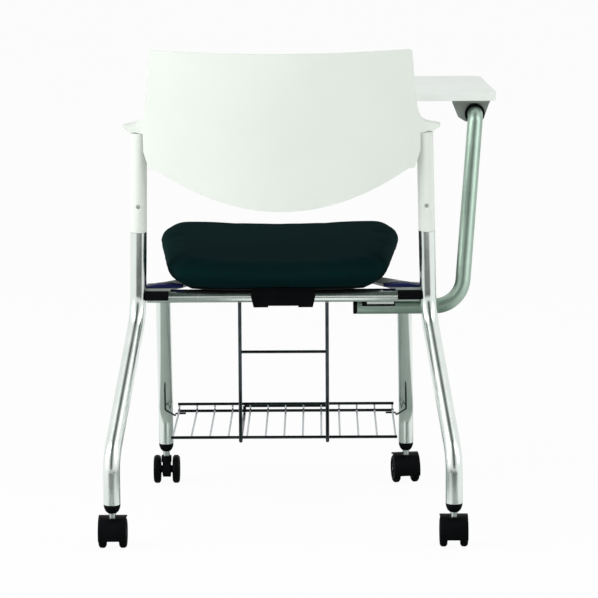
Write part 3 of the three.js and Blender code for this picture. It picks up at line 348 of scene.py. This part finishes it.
FINISHES = {
    "silver_tube": plated_steel("satin_plated_steel", "dfe8e3", "e8efeb", 0.17, 0.27),
    "chrome_wire": plated_steel("chromed_wire", "a9b0b5", "bcc2c6", 0.24, 0.34),
    "cast_grey": painted_casting(),
    "white_plastic": moulded_white(),
    "black_plastic": moulded_dark("glass_filled_nylon", "090a0d", "050608", 0.42, 0.56),
    "caster_wheel": moulded_dark("nylon_tread", "090a0c", "050607", 0.4, 0.55),
    "rubber_pad": moulded_dark("moulded_rubber", "1b1b1b", "101010", 0.7, 0.85),
    "seat_fabric": woven_upholstery(),
    "tablet_board": laminate_top(),
    "steel_pin": plated_steel("zinc_plated_steel", "c4cbc8", "d2d8d5", 0.2, 0.32),
}
NAVY_COVER = moulded_dark("navy_moulded_nylon", "1c2350", "12163a", 0.4, 0.55)
# The arm's plating is duller than the legs', with a green cast.
DULL_STEEL = plated_steel("dull_plated_steel", "98ad9f", "a6baad", 0.36, 0.46)
# The rods, rails, ties and hooks are the basket's chrome darkened in colour, a painted dark reflection, so
# that they look nearly black beside the basket's wires.
PAINTED_REFLECTION_CHROME = chrome_with_painted_reflection("chrome_painted_dark_reflection", "2c3336", "454c50")
SLOT_OF = {part["node"]: part["material_slot"] for part in frame["record"]["subparts"]}


# Making pieces


def settle(name, mesh, body, *nodes, finish=None):
    """A finished piece: its material, the body it rides on and the CAD nodes it stands for."""
    piece = bpy.data.objects.new(name, mesh)
    bpy.context.scene.collection.objects.link(piece)
    slot = SLOT_OF[nodes[0]]
    mesh.materials.clear()
    mesh.materials.append(finish or FINISHES[slot])
    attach(piece, body)
    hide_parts(*nodes)
    return piece


def smooth_within(mesh, degrees):
    """Smooth shading with an edge kept sharp where its faces meet at more than the given angle."""
    shape = bmesh.new()
    shape.from_mesh(mesh)
    for face in shape.faces:
        face.smooth = True
    for edge in shape.edges:
        edge.smooth = len(edge.link_faces) == 2 and edge.calc_face_angle(0) < math.radians(degrees)
    shape.to_mesh(mesh)
    shape.free()


def merged_copy(node):
    """The CAD node's mesh with its loose triangles joined and its flat faces made whole."""
    shape = bmesh.new()
    shape.from_mesh(cad_nodes[node].data)
    bmesh.ops.remove_doubles(shape, verts=shape.verts, dist=0.01 * MM)
    bmesh.ops.dissolve_limit(
        shape, angle_limit=math.radians(0.5), verts=shape.verts, edges=shape.edges
    )
    mesh = bpy.data.meshes.new(node)
    shape.to_mesh(mesh)
    shape.free()
    return mesh


def eased(node, edge_mm, steps=2, finish=None):
    """The CAD node with its edges eased by a small round, as a moulded, cast or turned piece has them."""
    sharp = 32
    mesh = merged_copy(node)
    smooth_within(mesh, sharp)
    piece = settle(node + "_made", mesh, cad_nodes[node]["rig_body"], node, finish=finish)
    ease = piece.modifiers.new("eased_edges", "BEVEL")
    ease.width = edge_mm * MM
    ease.segments = steps
    ease.limit_method = "ANGLE"
    ease.angle_limit = math.radians(sharp)
    ease.harden_normals = True
    ease.use_clamp_overlap = True
    return piece


def bent_route(corners, radii, steps):
    """The points of a route of straight runs with a round bend at each inner corner."""
    points = [corners[0]]
    for before, corner, after, radius in zip(corners, corners[1:], corners[2:], radii):
        heading = (corner - before).normalized()
        onward = (after - corner).normalized()
        turn = heading.angle(onward)
        start = corner - heading * radius * math.tan(turn / 2)
        axis = heading.cross(onward).normalized()
        spoke = heading.cross(axis)
        centre = start - spoke * radius
        for k in range(steps + 1):
            points.append(centre + Matrix.Rotation(turn * k / steps, 3, axis) @ (spoke * radius))
    points.append(corners[-1])
    return points


def round_bar(routes, radius_mm, roundness):
    """One mesh of round bars along routes of points. The higher the roundness, the more sides a bar has."""
    curve = bpy.data.curves.new("route", "CURVE")
    curve.dimensions = "3D"
    curve.bevel_depth = radius_mm * MM
    curve.bevel_resolution = roundness
    curve.use_fill_caps = True
    for route in routes:
        spline = curve.splines.new("POLY")
        spline.points.add(len(route) - 1)
        for point, place in zip(spline.points, route):
            point.co = (*place, 1.0)
    holder = bpy.data.objects.new("route", curve)
    bpy.context.scene.collection.objects.link(holder)
    bpy.context.view_layer.update()
    graph = bpy.context.evaluated_depsgraph_get()
    mesh = bpy.data.meshes.new_from_object(holder.evaluated_get(graph))
    bpy.data.objects.remove(holder)
    bpy.data.curves.remove(curve)
    smooth_within(mesh, 40)
    return mesh


def mirrored(points):
    """The same route on the chair's other side."""
    return [Vector((2 * CHAIR_ZERO.x - p.x, p.y, p.z)) for p in points]


# Frame tubes


def bend_frame_tubes():
    leg_radius, front_radius, cross_radius, arm_radius = 13.6, 12.7, 11, 12.7
    roundness = 14
    bend_steps = 14
    rear = bent_route(
        [
            at(REAR_STEM_X, 0, 74.5),
            at(REAR_STEM_X, 0, 150),
            at(241, CROSS_TUBE_Y, 350),
            at(237.33, -182.56, 490),
        ],
        [60 * MM, 70 * MM],
        bend_steps,
    )
    front = bent_route(
        [
            at(FRONT_STEM_X, FRONT_STEM_Y, 74),
            at(FRONT_STEM_X, FRONT_STEM_Y, 130),
            at(201.7, -241.5, 380),
        ],
        [60 * MM],
        bend_steps,
    )
    for side, turn in (("left", list), ("right", mirrored)):
        rear_leg = round_bar([turn(rear)], leg_radius, roundness)
        settle("rear_leg_bent_" + side, rear_leg, "frame", "rear_leg_" + side)
        front_leg = round_bar([turn(front)], front_radius, roundness)
        settle("front_leg_bent_" + side, front_leg, "frame", "front_leg_" + side)
    across = [at(sign * 225.9, CROSS_TUBE_Y, CROSS_TUBE_Z) for sign in (-1, 1)]
    settle("cross_tube_drawn", round_bar([across], cross_radius, roundness), "frame", "cross_tube")
    arm = bent_route(
        [
            at(-123, -221, 355.5),
            at(-296, -221, 355.5),
            at(-323, -298, 666),
            at(-323, -318, 666),
        ],
        [48 * MM, 16 * MM],
        bend_steps,
    )
    arm_tube = round_bar([arm], arm_radius, roundness)
    settle("arm_tube_bent", arm_tube, "frame", "arm_tube", finish=DULL_STEEL)


def fit_stem_sleeves():
    """The bright steel of each caster's stem, seen between its housing and the plug in the leg."""
    foot_z, top_z, stem_radius = 48, 59.8, 5.8
    for corner, (x, y) in CORNERS.items():
        sleeve = round_bar([[at(x, y, foot_z), at(x, y, top_z)]], stem_radius, 8)
        body, node = "caster_" + corner, "caster_housing_" + corner
        settle("stem_sleeve_" + corner, sleeve, body, node, finish=FINISHES["steel_pin"])


# Wire basket


def weld_basket():
    lip_bend = 6 * MM
    wire_radius, rail_radius, rod_radius = 1.6, 2.5, 3
    wire_count, outer_wire_x, rail_end_x = 13, 186.5, 189
    near_y, far_y, inner_rail_y = -190.5, -424, -418
    near_z, floor_z, lip_z = 139, 134.5, 146.5

    # The wires lie from front to back and turn up into a low lip at the front.
    runs = []
    for i in range(wire_count):
        x = outer_wire_x * (2 * i / (wire_count - 1) - 1)
        corners = [at(x, near_y, near_z), at(x, far_y, floor_z), at(x, far_y, lip_z)]
        runs.append(bent_route(corners, [lip_bend], 6))
    settle("basket_wires", round_bar(runs, wire_radius, 4), "frame", "book_basket")
    rails = [
        [at(-rail_end_x, y, z), at(rail_end_x, y, z)]
        for y, z in ((-192, near_z), (far_y, 145.5), (inner_rail_y, floor_z))
    ]
    rails_mesh = round_bar(rails, rail_radius, 5)
    settle("basket_rails", rails_mesh, "frame", "book_basket", finish=PAINTED_REFLECTION_CHROME)

    # Two rods hang from the cross tube, run under the wires and turn up in front of them.
    rod_x, rod_front_y = 72.5, -432
    rod = bent_route(
        [
            at(rod_x, CROSS_TUBE_Y, 366.6),
            at(rod_x, -185.9, 132.9),
            at(rod_x, rod_front_y, 128.4),
            at(rod_x, rod_front_y, 140),
        ],
        [lip_bend, lip_bend],
        8,
    )
    rods = round_bar([rod, mirrored(rod)], rod_radius, 6)
    settle("hanger_rods", rods, "frame", "basket_hanger", finish=PAINTED_REFLECTION_CHROME)
    ties = [[at(-rod_x, y, z), at(rod_x, y, z)] for y, z in ((-195, 284), (rod_front_y, 140))]
    ties_mesh = round_bar(ties, rail_radius, 5)
    settle("hanger_ties", ties_mesh, "frame", "basket_hanger", finish=PAINTED_REFLECTION_CHROME)

    # A hook on each side comes out of the front leg, runs down beside it and in under the rail.
    hook_bend = 4 * MM
    hook_y, hook_z = -400.4, 130.1
    for side, sign in SIDES:
        corners = [
            at(sign * 208.4, -372.6, 195.3),
            at(sign * 208.4, -363.8, 188.7),
            at(sign * 210.2, hook_y, 140.7),
            at(sign * 193, hook_y, hook_z),
            at(sign * 193, inner_rail_y, hook_z),
            at(sign * 175, inner_rail_y, hook_z),
        ]
        hook = round_bar([bent_route(corners, [hook_bend] * 4, 6)], wire_radius, 4)
        settle("hook_wire_" + side, hook, "frame", "basket_hook_" + side, finish=PAINTED_REFLECTION_CHROME)


# Cushion


def upholster_seat():
    """The cushion's CAD form, blown up a little as cloth so that the cover is tight over the foam."""
    mesh = merged_copy("seat_cushion")
    piece = settle("seat_cushion_upholstered", mesh, "seat", "seat_cushion")
    low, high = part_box("seat_cushion")
    middle = (low + high) / 2
    # The cloth swells upwards, so it starts from a slightly lower shape.
    lower = Matrix.Diagonal((1.0, 1.0, 0.97, 1))
    mesh.transform(Matrix.Translation(middle) @ lower @ Matrix.Translation(-middle))
    remesh = piece.modifiers.new("even_cloth", "REMESH")
    remesh.mode = "VOXEL"
    remesh.voxel_size = 5 * MM
    make_real(piece)
    inflate(piece, 1, 20, 3 * MM)
    flatten_underside(piece, low.z)
    relax = piece.modifiers.new("relaxed_cover", "SMOOTH")
    relax.iterations = 5
    make_real(piece)
    for face in piece.data.polygons:
        face.use_smooth = True
    finer = piece.modifiers.new("finer_cover", "SUBSURF")
    finer.levels = 1
    finer.render_levels = 1


def make_real(piece):
    """Puts the piece's modifiers into its mesh."""
    graph = bpy.context.evaluated_depsgraph_get()
    finish = piece.data.materials[0]
    mesh = bpy.data.meshes.new_from_object(piece.evaluated_get(graph))
    mesh.materials.clear()
    mesh.materials.append(finish)
    piece.modifiers.clear()
    piece.data = mesh


def inflate(piece, first, last, cap):
    """Cloth under pressure, with no point moved further than the cap."""
    start = [v.co.copy() for v in piece.data.vertices]
    cloth = piece.modifiers.new("tight_cover", "CLOTH")
    cloth.settings.use_pressure = True
    cloth.settings.uniform_pressure_force = 4
    cloth.settings.effector_weights.gravity = 0
    cloth.point_cache.frame_start = first
    cloth.point_cache.frame_end = last
    for number in range(first, last + 1):
        bpy.context.scene.frame_set(number)
    make_real(piece)
    bpy.context.scene.frame_set(first)
    for vertex, rest in zip(piece.data.vertices, start):
        move = vertex.co - rest
        if move.length > cap:
            vertex.co = rest + move.normalized() * cap


def flatten_underside(piece, bottom):
    """The underside lies on the pan, so nothing hangs below it."""
    for vertex in piece.data.vertices:
        vertex.co.z = max(vertex.co.z, bottom)


# Studio


def lay_sheet(name, low, high, height, finish):
    """A level sheet of the studio between two corners, given in metres."""
    sheet = bmesh.new()
    middle = Matrix.Translation(((low[0] + high[0]) / 2, (low[1] + high[1]) / 2, height))
    size = Matrix.Diagonal((high[0] - low[0], high[1] - low[1], 1, 1))
    bmesh.ops.create_grid(sheet, x_segments=1, y_segments=1, size=0.5, matrix=middle @ size)
    mesh = bpy.data.meshes.new(name)
    sheet.to_mesh(mesh)
    sheet.free()
    mesh.materials.append(finish)
    laid = bpy.data.objects.new(name, mesh)
    bpy.context.scene.collection.objects.link(laid)
    return laid


def roll_out_floor():
    """White paper. The camera and mirrors see it nearly white, and its own shade keeps the soft shadow."""
    paper = bpy.data.materials.new("studio_paper")
    paper.use_nodes = True
    tree = paper.node_tree
    tree.nodes.clear()
    path = put(tree, "ShaderNodeLightPath").outputs
    matt = put(tree, "ShaderNodeBsdfDiffuse", {"Color": srgb("f2f2f2")})
    glow = put(tree, "ShaderNodeEmission", {"Color": srgb("ffffff"), "Strength": 1.0})
    mirrored_ray = put(
        tree,
        "ShaderNodeMath",
        {0: path["Is Glossy Ray"], 1: path["Is Transmission Ray"]},
        operation="MAXIMUM",
    )
    shown = put(
        tree,
        "ShaderNodeMath",
        {0: path["Is Camera Ray"], 1: mirrored_ray.outputs["Value"]},
        operation="MAXIMUM",
    )
    glow_share = 0.95
    seen = put(
        tree, "ShaderNodeMath", {0: shown.outputs["Value"], 1: glow_share}, operation="MULTIPLY"
    )
    both = put(
        tree,
        "ShaderNodeMixShader",
        {0: seen.outputs["Value"], 1: matt.outputs["BSDF"], 2: glow.outputs["Emission"]},
    )
    put(tree, "ShaderNodeOutputMaterial", {"Surface": both.outputs["Shader"]})
    reach = 14
    # The floor lies half a millimetre low, so that the wheels don't share its plane.
    lay_sheet("studio_floor", (-reach, -reach), (reach, reach), -0.5 * MM, paper)


def light_room():
    """A white room: pale light all round, white to the camera, and dimmed behind it in mirrors only."""
    world = bpy.data.worlds.new("studio_world")
    bpy.context.scene.world = world
    world.use_nodes = True
    tree = world.node_tree
    tree.nodes.clear()
    path = put(tree, "ShaderNodeLightPath").outputs
    heading = put(tree, "ShaderNodeTexCoord").outputs["Generated"]
    split = put(tree, "ShaderNodeSeparateXYZ", {"Vector": heading})
    # A dark strip stands upright behind the camera. It draws the dark line down each bright tube.
    across = put(tree, "ShaderNodeMath", {0: split.outputs["X"]}, operation="ABSOLUTE")
    strip = put(
        tree,
        "ShaderNodeMapRange",
        {
            "Value": across.outputs["Value"],
            "From Min": 0.12,
            "From Max": 0.48,
            "To Min": 1.0,
            "To Max": 0.0,
        },
    )
    behind = put(
        tree, "ShaderNodeMapRange", {"Value": split.outputs["Y"], "From Min": -0.1, "From Max": 0.2}
    )
    shade = put(
        tree,
        "ShaderNodeMath",
        {0: strip.outputs["Result"], 1: behind.outputs["Result"]},
        operation="MULTIPLY",
    )
    dim = put(tree, "ShaderNodeValToRGB", {"Fac": shade.outputs["Value"]})
    ramp_stops(dim, (0.0, "ffffff"), (1.0, "2a3a31"))
    ambient = put(tree, "ShaderNodeBackground", {"Color": srgb("f4f7f5"), "Strength": 0.52})
    mirror = put(tree, "ShaderNodeBackground", {"Color": dim.outputs["Color"], "Strength": 0.95})
    white = put(tree, "ShaderNodeBackground", {"Color": srgb("ffffff"), "Strength": 1.0})
    glossy = put(
        tree,
        "ShaderNodeMixShader",
        {0: path["Is Glossy Ray"], 1: ambient.outputs[0], 2: mirror.outputs[0]},
    )
    whole = put(
        tree,
        "ShaderNodeMixShader",
        {0: path["Is Camera Ray"], 1: glossy.outputs[0], 2: white.outputs[0]},
    )
    put(tree, "ShaderNodeOutputWorld", {"Surface": whole.outputs[0]})


def hang_soft_boxes():
    """Four square lights, in metres and watts. All face the middle of the chair."""
    chair_middle = Vector((0, 0, 0.5))
    for name, place, size, power in (
        ("high_left_box", Vector((2.0, 1.5, 2.5)), 1.4, 21),
        ("high_right_box", Vector((-2.0, 1.5, 2.5)), 1.4, 18),
        ("side_box", Vector((3.1, 1.3, 1.4)), 1.8, 50),
        ("weak_side_box", Vector((-3.0, 1.5, 1.4)), 1.4, 16),
    ):
        light = bpy.data.lights.new(name, "AREA")
        light.energy = power
        light.size = size
        box = bpy.data.objects.new(name, light)
        bpy.context.scene.collection.objects.link(box)
        box.location = place
        box.rotation_euler = (chair_middle - place).to_track_quat("-Z", "Y").to_euler()


def lay_painted_reflection_cards():
    """Toned cards on the floor, seen only in reflections: painted reflections. The near card paints the
    chair's shade on the floor under it into the tubes, and the others paint dark surroundings into them.
    """
    for name, tone, low, high in (
        ("near_painted_shade_card", "b6bfba", (-0.45, -0.6), (0.45, 0.15)),
        ("middle_painted_reflection_card_left", "9ba6a0", (0.13, 0.15), (0.48, 0.6)),
        ("middle_painted_reflection_card_right", "9ba6a0", (-0.48, 0.15), (-0.13, 0.6)),
        ("far_painted_reflection_card", "2f3d35", (-0.75, 0.68), (0.75, 1.35)),
    ):
        finish, _, shader = new_finish(name)
        shader.inputs["Base Color"].default_value = srgb(tone)
        shader.inputs["Roughness"].default_value = 0.9
        shader.inputs["Specular IOR Level"].default_value = 0.0
        card = lay_sheet(name, low, high, 1 * MM, finish)
        card.visible_camera = False
        card.visible_diffuse = False
        card.visible_shadow = False


def set_camera():
    """The photograph's view: from behind the chair and a little above it."""
    image_side = 598
    focal_pixels = 2777
    lens = bpy.data.cameras.new("camera")
    lens.sensor_width = 36
    lens.lens = focal_pixels / image_side * lens.sensor_width
    lens.clip_start = 0.1
    lens.clip_end = 60
    camera = bpy.data.objects.new("camera", lens)
    bpy.context.scene.collection.objects.link(camera)
    camera.location = at(-62.9, 4336.7, 1188.4)
    heading = Matrix.Rotation(math.radians(180.464), 4, "Z")
    pitch = Matrix.Rotation(math.radians(90 - 10.2), 4, "X")
    roll = Matrix.Rotation(math.radians(-0.355), 4, "Z")
    camera.rotation_euler = (heading @ pitch @ roll).to_euler()
    bpy.context.scene.camera = camera


# Moulded, cast and turned pieces keep their CAD form. The number is the round on their edges, in millimetres.
ON_BOTH_SIDES = {
    "upright_sleeve_": 0.4,
    "seat_bracket_": 0.8,
    "bracket_cap_": 0.6,
    "bracket_cover_": 0.8,
    "seat_buffer_": 0.5,
    "sleeve_screw_": 0.3,
    "hinge_bolt_": 0.4,
}
SINGLE = {
    "seat_pan": 0.8,
    "hinge_block": 0.8,
    "hinge_cap": 0.8,
    "arm_end_cap": 0.6,
    "arm_saddle": 0.5,
    "arm_clamp_plate": 0.3,
    "pivot_bush": 0.8,
    "pivot_pin": 0.5,
    "tablet_board": 2.0,
    "tablet_bracket": 0.8,
    "tablet_screw_inner": 0.4,
    "tablet_screw_outer": 0.4,
}
AT_EACH_CORNER = {
    "leg_plug_": 0.4,
    "caster_housing_": 0.6,
    "caster_axle_": 0.3,
    "caster_wheel_a_": 0.8,
    "caster_wheel_b_": 0.8,
}


def ease_cad_pieces():
    eased("back_shell", 1.2, steps=3)
    for side, _ in SIDES:
        for stem, edge in ON_BOTH_SIDES.items():
            eased(stem + side, edge, finish=NAVY_COVER if stem == "bracket_cover_" else None)
    for node, edge in SINGLE.items():
        eased(node, edge)
    for corner in CORNERS:
        for stem, edge in AT_EACH_CORNER.items():
            eased(stem + corner, edge)


set_camera()
roll_out_floor()
light_room()
hang_soft_boxes()
lay_painted_reflection_cards()
bend_frame_tubes()
fit_stem_sleeves()
weld_basket()
upholster_seat()
ease_cad_pieces()

bpy.context.scene.view_settings.view_transform = "Standard"
